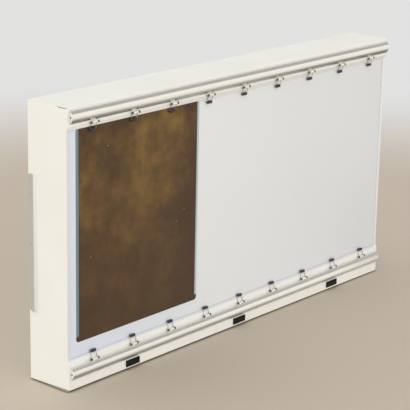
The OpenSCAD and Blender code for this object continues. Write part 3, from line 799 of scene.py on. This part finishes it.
def springLine(sizes, barBack, barUp, caseBack):
    # centre line about the coil axis, in mm; barUp is negative where the bar hangs below its coils
    radius = sizes["coil"] / 2
    drop = abs(barUp)
    legAngle = math.acos(radius / math.hypot(drop, barBack)) - math.atan2(drop, barBack)
    steps = round(sizes["turns"] * sizes["turnSteps"])
    pitch = sizes["wire"] + sizes["turnGap"]
    coil = []
    for k in range(steps, -1, -1):
        turned = sizes["turns"] * k / steps
        angle = legAngle + 2 * math.pi * turned
        sideways = sizes["legHalf"] + turned * pitch
        coil.append(Vector((sideways, radius * math.cos(angle), radius * math.sin(angle))))
    tailAngle = legAngle + 2 * math.pi * sizes["turns"]
    tailWay = Vector((0, -math.sin(tailAngle), math.cos(tailAngle)))
    tail = coil[0] + tailWay * (caseBack - sizes["tailRoom"] - sizes["wire"] / 2 - coil[0].y) / tailWay.y
    corner = Vector((sizes["barHalf"], barBack, -drop))
    start = corner + (coil[-1] - corner).normalized() * sizes["bend"]
    end = corner - Vector((sizes["bend"], 0, 0))
    bend = []
    for k in range(sizes["bendSteps"] + 1):
        t = k / sizes["bendSteps"]
        bend.append(start * (1 - t) ** 2 + corner * 2 * t * (1 - t) + end * t ** 2)
    half = [tail] + coil + bend
    whole = half + [Vector((-p.x, p.y, p.z)) for p in reversed(half)]
    turn = 1 if barUp < 0 else -1
    return [Vector((p.x, p.y, p.z * turn)) for p in whole]


def startTree(name, inputs):
    # a geometry tree with these inputs beside its geometry, and the sockets they arrive at
    tree = bpy.data.node_groups.new(name, "GeometryNodeTree")
    for label, kind in {"Geometry": "Geometry", **inputs, "Material": "Material"}.items():
        tree.interface.new_socket(label, in_out="INPUT", socket_type=f"NodeSocket{kind}")
    tree.interface.new_socket("Geometry", in_out="OUTPUT", socket_type="NodeSocketGeometry")
    return tree, addNode(tree, "NodeGroupInput").outputs


def endTree(tree, geometry, material):
    real = addNode(tree, "GeometryNodeRealizeInstances", {"Geometry": geometry})
    dressed = addNode(tree, "GeometryNodeSetMaterial", {
        "Geometry": real.outputs["Geometry"], "Material": material,
    })
    addNode(tree, "NodeGroupOutput", {"Geometry": dressed.outputs["Geometry"]})
    return tree


def wireTree():
    tree, given = startTree("roundWire", {"Wire Radius": "Float", "Sides": "Int"})
    section = addNode(tree, "GeometryNodeCurvePrimitiveCircle", {
        "Resolution": given["Sides"], "Radius": given["Wire Radius"],
    })
    wire = addNode(tree, "GeometryNodeCurveToMesh", {
        "Curve": given["Geometry"], "Profile Curve": section.outputs["Curve"], "Fill Caps": True,
    })
    smooth = addNode(tree, "GeometryNodeSetShadeSmooth", {"Geometry": wire.outputs["Mesh"]})
    return endTree(tree, smooth.outputs["Geometry"], given["Material"])


def setInputs(carrier, tree, values):
    modifier = carrier.modifiers.new("shape", "NODES")
    modifier.node_group = tree
    for item in tree.interface.items_tree:
        if item.in_out == "INPUT" and item.name in values:
            modifier[item.identifier] = values[item.name]


def wireMesh(name, line, tree, sizes, material):
    curve = bpy.data.curves.new(name, "CURVE")
    curve.dimensions = "3D"
    spline = curve.splines.new("POLY")
    spline.points.add(len(line) - 1)
    for point, place in zip(spline.points, line):
        point.co = (*(place * mm), 1)
    carrier = addObject(name, curve)
    setInputs(carrier, tree, {
        "Wire Radius": sizes["wire"] / 2 * mm, "Sides": sizes["sides"], "Material": material,
    })
    return bakedMesh(carrier, name)


def sleeveProfile(sizes, length, diameter, wire):
    half, radius, lip = length / 2, diameter / 2, diameter * sizes["lip"]
    bore = (wire + sizes["boreRoom"]) / 2
    turns = [math.pi / 2 * k / sizes["lipSteps"] for k in range(sizes["lipSteps"] + 1)]
    arc = [(radius - lip + lip * math.cos(turn), half - lip + lip * math.sin(turn)) for turn in turns]
    return [(bore, -half)] + [(r, -z) for r, z in reversed(arc)] + arc + [(bore, half)]


roundWire = wireTree()
for row in ("top", "bottom"):
    first = jointOf[f"{row}_clip_1"]
    sleeveLow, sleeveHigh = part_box(f"{row}_clip_sleeve_1")
    bar = ((sleeveLow + sleeveHigh) / 2 - Vector(first["pos_m"])) / mm
    line = springLine(clipSizes, bar.y, bar.z, (caseFront - first["pos_m"][1]) / mm)
    springMesh = wireMesh(f"{row}Spring", line, roundWire, clipSizes, springSteel)
    # painted shade inside the coils: points near the coil axis take the dark colour
    oil = springMesh.attributes.new("oil", "FLOAT", "POINT")
    for vertex, entry in zip(springMesh.vertices, oil.data):
        entry.value = 1.0 if math.hypot(vertex.co.y, vertex.co.z) < clipSizes["coilShadeReach"] * mm else 0.0
    length, diameter = (sleeveHigh.x - sleeveLow.x) / mm, (sleeveHigh.z - sleeveLow.z) / mm
    profile = sleeveProfile(sleeveSizes, length, diameter, clipSizes["wire"])
    sleeveMesh = turnedShape(f"{row}Sleeve", profile, sleeveSizes["sides"], closed=True)
    sleeveMesh.transform(Matrix.Rotation(math.pi / 2, 4, "Y"))  # its length along X
    for body in (name for name in record["behaviour"]["bodies"] if name.startswith(f"{row}_clip_")):
        number = body.rsplit("_", 1)[1]
        pivot = Vector(jointOf[body]["pos_m"])
        spring, sleeve = springMesh.copy(), sleeveMesh.copy()
        spring.transform(Matrix.Translation(pivot))
        sleeve.transform(Matrix.Translation(pivot + Vector((0, bar.y, bar.z)) * mm))
        placePiece(f"{row}ClipSpring{number}", spring, springSteel, f"{row}_clip_spring_{number}")
        placePiece(f"{row}ClipSleeve{number}", sleeve, blackRubber, f"{row}_clip_sleeve_{number}")
print("film clips wound")


# Pins and screws, set on points by one tree

def fastenerTree():
    tree, given = startTree("fastenersOnPoints", {"Fastener": "Object", "Spin": "Float", "Seed": "Int"})
    axis = addNode(tree, "GeometryNodeInputNamedAttribute", {"Name": "axis"}, data_type="FLOAT_VECTOR")
    aimed = addNode(tree, "FunctionNodeAlignRotationToVector", {
        "Vector": axis.outputs["Attribute"],
    }, axis="Z")
    angle = addNode(tree, "FunctionNodeRandomValue", {
        2: 0.0, 3: given["Spin"], "Seed": given["Seed"],
    }, data_type="FLOAT")
    spin = addNode(tree, "FunctionNodeAxisAngleToRotation", {"Axis": (0, 0, 1), "Angle": angle.outputs[1]})
    turned = addNode(tree, "FunctionNodeRotateRotation", {
        "Rotation": aimed.outputs["Rotation"], "Rotate By": spin.outputs["Rotation"],
    }, rotation_space="LOCAL")
    shape = addNode(tree, "GeometryNodeObjectInfo", {"Object": given["Fastener"]}, transform_space="ORIGINAL")
    spread = addNode(tree, "GeometryNodeInstanceOnPoints", {
        "Points": given["Geometry"], "Instance": shape.outputs["Geometry"],
        "Rotation": turned.outputs["Rotation"],
    })
    return endTree(tree, spread.outputs["Instances"], given["Material"])


headShape = {
    "rim": 0.45,          # share of the head's height below its dome
    "domeSteps": 6,
    "sides": 32,
    "recessReach": 0.58,  # shares of the head's diameter
    "recessWidth": 0.13,
    "recessHeight": 1.1,  # of the cutter, centred on the top of the head; share of the head's height
}


def domedProfile(look, sizes):
    # a shank below zero, and a head whose top is a low dome
    shank, head, height = sizes["shank"] / 2, sizes["head"] / 2, sizes["headHeight"]
    turns = [math.pi / 2 * k / look["domeSteps"] for k in range(look["domeSteps"])]
    rise = 1 - look["rim"]
    dome = [(head * math.cos(turn), height * (look["rim"] + rise * math.sin(turn))) for turn in turns]
    foot = [(0, -sizes["length"]), (shank, -sizes["length"]), (shank, 0), (head, 0)]
    return foot + dome + [(0, height)]


def crossRecessed(look, shape, sizes):
    # cuts a cross recess into the top of a screw head
    head, height = sizes["head"] * mm, sizes["headHeight"] * mm
    armSize = (head * look["recessReach"], head * look["recessWidth"], height * look["recessHeight"], 1)
    screw = addObject(shape.name, shape)
    bm = bmesh.new()
    for turn in (0, math.pi / 2):
        made = bmesh.ops.create_cube(bm, size=1)
        lifted = Matrix.Translation((0, 0, height)) @ Matrix.Diagonal(armSize)
        arm = Matrix.Rotation(turn, 4, "Z") @ lifted
        bmesh.ops.transform(bm, matrix=arm, verts=made["verts"])
    cutter = addObject("recessCutter", meshFrom(bm, "recessCutter"))
    cut = screw.modifiers.new("recess", "BOOLEAN")
    cut.object = cutter
    cut.solver = "EXACT"
    cut.use_self = True
    bm = bmesh.new()
    bm.from_mesh(bakedMesh(screw, shape.name))
    bpy.data.objects.remove(cutter)
    return meshFrom(tidied(bm), shape.name)


def screwShape(name, look, sizes):
    return crossRecessed(look, turnedShape(name, domedProfile(look, sizes), look["sides"]), sizes)


fasteners = fastenerTree()


def setFasteners(pieceName, nodeName, shape, places, sizes):
    # places are (point, axis) pairs in metres
    points = bpy.data.meshes.new(pieceName)
    points.from_pydata([point for point, axis in places], [], [])
    attribute = points.attributes.new("axis", "FLOAT_VECTOR", "POINT")
    for row, (point, axis) in zip(attribute.data, places):
        row.vector = axis
    fastener = addObject(shape.name, shape)
    carrier = addObject(pieceName, points)
    setInputs(carrier, fasteners, {
        "Fastener": fastener, "Spin": sizes["spin"], "Seed": sizes["seed"], "Material": zincSteel,
    })
    mesh = bakedMesh(carrier, pieceName)
    bpy.data.objects.remove(fastener)
    placePiece(pieceName, mesh, zincSteel, nodeName)


# mm; spin is the most that one may be turned about its axis, in radians
clipPin = {"diameter": 1.6, "chamfer": 0.2, "sides": 24, "spin": 0.0, "seed": 1}
backScrew = {
    "shank": 3.0, "length": 8.0, "head": 7.0, "headHeight": 1.5,
    "columns": 5, "spin": math.pi, "seed": 4,
}
gripScrew = {
    "shank": 3.5, "length": 9.0, "head": 7.0, "headHeight": 1.0,
    "rows": 3, "spin": math.pi, "seed": 9,
}


def evenly(low, high, count):
    return [low + (high - low) * k / (count - 1) for k in range(count)]


def addPins(sizes):
    pivots = [Vector(joint["pos_m"]) for joint in jointOf.values() if "_clip_" in joint["child"]]
    half = (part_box("clip_pins")[1].x - max(pivot.x for pivot in pivots)) / mm
    radius, chamfer = sizes["diameter"] / 2, sizes["chamfer"]
    end = [(radius, half - chamfer), (radius - chamfer, half), (0, half)]
    pin = turnedShape("clipPin", [(r, -z) for r, z in reversed(end)] + end, sizes["sides"])
    setFasteners("clipPins", "clip_pins", pin, [(pivot, (1, 0, 0)) for pivot in pivots], sizes)


def addBackScrews(sizes):
    low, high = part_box("back_screws")
    radius = sizes["head"] / 2 * mm
    seat = high.y - sizes["headHeight"] * mm
    places = []
    for x in evenly(low.x + radius, high.x - radius, sizes["columns"]):
        for z in (low.z + radius, high.z - radius):
            places.append((Vector((x, seat, z)), (0, 1, 0)))
    setFasteners("backScrews", "back_screws", screwShape("backScrew", headShape, sizes), places, sizes)


def addGripScrews(sizes):
    low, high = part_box("grip_screws")
    radius = sizes["head"] / 2 * mm
    seat = sizes["headHeight"] * mm
    middleY = (low.y + high.y) / 2
    places = []
    for z in evenly(low.z + radius, high.z - radius, sizes["rows"]):
        places.append((Vector((low.x + seat, middleY, z)), (-1, 0, 0)))
        places.append((Vector((high.x - seat, middleY, z)), (1, 0, 0)))
    setFasteners("gripScrews", "grip_screws", screwShape("gripScrew", headShape, sizes), places, sizes)


addPins(clipPin)
addBackScrews(backScrew)
addGripScrews(gripScrew)
print("pins and screws set")


# Switches and grip strips: moulded and drawn edges

edgeSizes = {
    # radius in mm, segments
    "bezel": (0.7, 3),
    "rocker": (0.5, 3),
    "grip": (0.6, 3),
    "bezelAngle": 1.0,    # least angles of the edges that are rounded, radians
    "rockerAngle": 0.9,
    "gripProud": 0.5,     # the rounded edges of a grip stand this far outside the case, mm
    "gripLength": 1.0,    # and are at least this long, mm
}
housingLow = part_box("switch_housings")[0]


def bezelEdge(edge):
    return near(middle(edge).y, housingLow.y) and edge.calc_face_angle(0) > edgeSizes["bezelAngle"]


def rockerEdge(edge):
    return middle(edge).y < caseFront and edge.calc_face_angle(0) > edgeSizes["rockerAngle"]


def gripEdge(edge):
    proud = abs(middle(edge).x) + caseLeft
    return proud > edgeSizes["gripProud"] * mm and runs(edge)[1] > edgeSizes["gripLength"] * mm


softened("switch_housings", "switchHousings", blackPlastic, [(edgeSizes["bezel"], bezelEdge)])
for side in ("left", "centre", "right"):
    softened(f"{side}_rocker", f"{side}Rocker", blackPlastic, [(edgeSizes["rocker"], rockerEdge)])
for side in ("left", "right"):
    softened(f"{side}_grip_strip", f"{side}GripStrip", gripAluminium, [(edgeSizes["grip"], gripEdge)])
print("switches and grip strips finished")


# Floor and light

stageLook = {
    "floor": 14.0,         # m
    "drop": 2.0,           # the floor lies this far under the case, which stands on its high spots, mm
    "roughness": 0.8,
    "near": "#c9bcab",
    "backdrop": "#e2e2e1",
    "fade": (1.2, 2.6),    # distances between which the floor turns into the backdrop, m
    "bounce": "#d3ccc0",   # what the floor throws back on the object
    "sheen": "#fffaf2",    # what polished metal sees in it
    "sheenLevels": (0.22, 1.05),   # looking down, and along the floor
    "sheenFacing": (0.3, 0.52),    # slants of the look between which it rises
    "shadeRight": (0.45, 1.0),     # the sheen goes down past the right end, X in m,
    "shadeFront": (-0.6, -0.35),   # and close in front of the case, Y in m
    "crease": "#75675a",           # painted contact shadow: the floor's colour in the crease under the case
    "contactShadowReach": 10,             # mm
    "contactShadowOpen": (0.35, 0.95),    # open share of the sky in the darkest crease and on the plain floor
}


def addFloor(look):
    bm = bmesh.new()
    level = Matrix.Translation((0, 0, -look["drop"] * mm))
    bmesh.ops.create_grid(bm, x_segments=1, y_segments=1, size=look["floor"] / 2, matrix=level)
    mesh = meshFrom(bm, "floor")
    floor = addObject("floor", mesh)
    material, tree, shader, place = startMaterial("paleFloor", {"Roughness": look["roughness"]})
    rays = addNode(tree, "ShaderNodeLightPath")
    # painted contact shadow: the floor darkens where the case hides its sky
    sky = addNode(tree, "ShaderNodeAmbientOcclusion", {"Distance": look["contactShadowReach"] * mm})
    clear = addNode(tree, "ShaderNodeMapRange", {
        "Value": sky.outputs["AO"], "From Min": look["contactShadowOpen"][0], "From Max": look["contactShadowOpen"][1],
    })
    plain = addNode(tree, "ShaderNodeMix", {
        "Factor": clear.outputs["Result"], "A": hexLinear(look["crease"]), "B": hexLinear(look["near"]),
    }, data_type="RGBA")
    colour = addNode(tree, "ShaderNodeMix", {
        "Factor": rays.outputs["Is Camera Ray"], "A": hexLinear(look["bounce"]), "B": plain.outputs["Result"],
    }, data_type="RGBA")
    tree.links.new(colour.outputs["Result"], shader.inputs["Base Color"])

    grazing = addNode(tree, "ShaderNodeLayerWeight", {"Blend": 0.5})
    bright = addNode(tree, "ShaderNodeMapRange", {
        "Value": grazing.outputs["Facing"],
        "From Min": look["sheenFacing"][0], "From Max": look["sheenFacing"][1],
        "To Min": look["sheenLevels"][0], "To Max": look["sheenLevels"][1],
    })
    parts = addNode(tree, "ShaderNodeSeparateXYZ", {"Vector": place})
    shade = 1
    for axis, limits in (("X", look["shadeRight"]), ("Y", look["shadeFront"])):
        within = addNode(tree, "ShaderNodeMapRange", {
            "Value": parts.outputs[axis], "From Min": limits[0], "From Max": limits[1],
        })
        shade = addNode(tree, "ShaderNodeMath", {
            0: shade, 1: within.outputs["Result"],
        }, operation="MULTIPLY").outputs[0]
    strength = addNode(tree, "ShaderNodeMix", {
        "Factor": shade, "A": bright.outputs["Result"], "B": look["sheenLevels"][0],
    })
    sheen = addNode(tree, "ShaderNodeEmission", {
        "Color": hexLinear(look["sheen"]), "Strength": strength.outputs["Result"],
    })
    mirrored = addNode(tree, "ShaderNodeMixShader", {
        0: rays.outputs["Is Glossy Ray"], 1: shader.outputs["BSDF"], 2: sheen.outputs["Emission"],
    })

    distance = addNode(tree, "ShaderNodeVectorMath", {0: place}, operation="LENGTH")
    fade = addNode(tree, "ShaderNodeMapRange", {
        "Value": distance.outputs["Value"], "From Min": look["fade"][0], "From Max": look["fade"][1],
        "To Max": rays.outputs["Is Camera Ray"],
    }, interpolation_type="SMOOTHSTEP")
    backdrop = addNode(tree, "ShaderNodeEmission", {"Color": hexLinear(look["backdrop"])})
    seen = addNode(tree, "ShaderNodeMixShader", {
        0: fade.outputs["Result"], 1: mirrored.outputs["Shader"], 2: backdrop.outputs["Emission"],
    })
    tree.links.new(seen.outputs["Shader"], tree.nodes["Material Output"].inputs["Surface"])
    mesh.materials.append(material)


worldLook = {
    "bright": 1.0,                # strength round the horizon
    "dim": 0.45,                  # strength at the middle of the dim part of the room
    "dimTowards": (0.6, 0, 0.8),  # up and to the right
    "edge": (0.55, 0.95),         # cosines of the angles between which it dims
}


def addWorld(look, backdrop):
    world = bpy.data.worlds.new("softStudio")
    world.use_nodes = True
    scene.world = world
    tree = world.node_tree
    place = addNode(tree, "ShaderNodeTexCoord").outputs["Generated"]
    nearness = addNode(tree, "ShaderNodeVectorMath", {
        0: place, 1: look["dimTowards"],
    }, operation="DOT_PRODUCT")
    level = addNode(tree, "ShaderNodeMapRange", {
        "Value": nearness.outputs["Value"], "From Min": look["edge"][0], "From Max": look["edge"][1],
        "To Min": look["bright"], "To Max": look["dim"],
    }, interpolation_type="SMOOTHSTEP")
    rays = addNode(tree, "ShaderNodeLightPath")
    colour = addNode(tree, "ShaderNodeMix", {
        "Factor": rays.outputs["Is Camera Ray"], "A": level.outputs["Result"], "B": hexLinear(backdrop),
    }, data_type="RGBA")
    tree.links.new(colour.outputs["Result"], tree.nodes["Background"].inputs["Color"])


# metres; each lamp looks at lampAim
lampAim = (0, 0, 0.3)
lamps = {
    "keyLamp": {"place": (-3.7, -1.2, 0.9), "width": 3.4, "height": 1.8, "watts": 19.5},
    "frontLamp": {"place": (0.2, -3.8, 1.5), "width": 4.6, "height": 2.6, "watts": 25},
    "topLamp": {"place": (-0.6, 0.6, 3.4), "width": 3.0, "height": 3.0, "watts": 10},
}


def addLamps(rows):
    for name, row in rows.items():
        data = bpy.data.lights.new(name, "AREA")
        data.shape = "RECTANGLE"
        data.size = row["width"]
        data.size_y = row["height"]
        data.energy = row["watts"]
        lamp = addObject(name, data)
        lamp.location = row["place"]
        aim = Vector(lampAim) - Vector(row["place"])
        lamp.rotation_euler = aim.to_track_quat("-Z", "Y").to_euler()
        lamp.visible_camera = False


addFloor(stageLook)
addWorld(worldLook, stageLook["backdrop"])
addLamps(lamps)
print("floor and light set")
